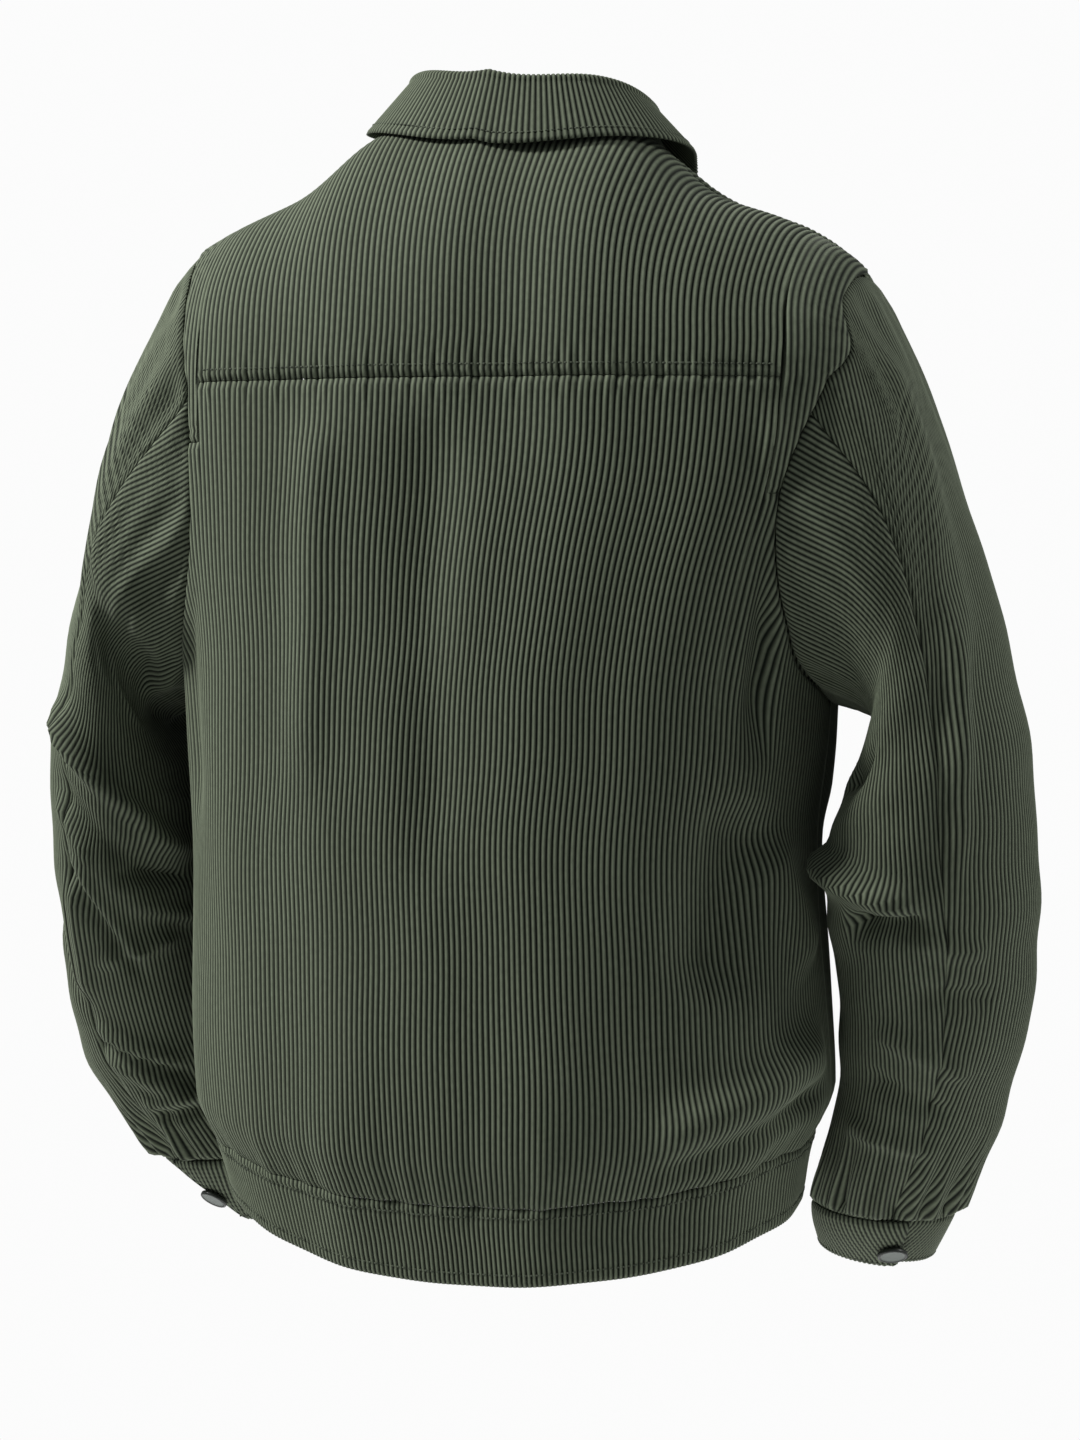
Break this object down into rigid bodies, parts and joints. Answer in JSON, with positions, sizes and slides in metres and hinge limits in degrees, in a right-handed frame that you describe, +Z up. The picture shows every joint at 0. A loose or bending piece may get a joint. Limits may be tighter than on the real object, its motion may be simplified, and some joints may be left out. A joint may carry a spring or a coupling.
{
  "type": "corduroy jacket",
  "caption": "Cropped corduroy jacket on a hollow worn form, with a turn-down collar, yoked back, buttoned front, blouson waistband and buttoned cuffs",
  "frame": {"origin": "middle of the neck opening, level with the neck seam at the centre back, where the wearer's shoulders and neck hold the jacket", "axes": "+Z is up, the wearer faces -Y, and the wearer's left is +X"},
  "size_m": [0.609, 0.2988, 0.7049],
  "materials": {
    "corduroy": "matt cotton corduroy with a napped rib",
    "button": "smooth flat-faced button"
  },
  "bodies": {
    "root": {"back_yoke": "corduroy", "back_panel": "corduroy", "front_left": "corduroy", "front_right": "corduroy", "sleeve_upper_left": "corduroy", "sleeve_upper_right": "corduroy", "sleeve_under_left": "corduroy", "sleeve_under_right": "corduroy", "cuff_left": "corduroy", "cuff_right": "corduroy", "waistband": "corduroy", "collar": "corduroy", "cuff_button_left": "button", "cuff_button_right": "button", "front_button_1": "button", "front_button_2": "button", "front_button_3": "button", "front_button_4": "button", "front_button_5": "button", "front_button_6": "button"}
  },
  "joints": []
}
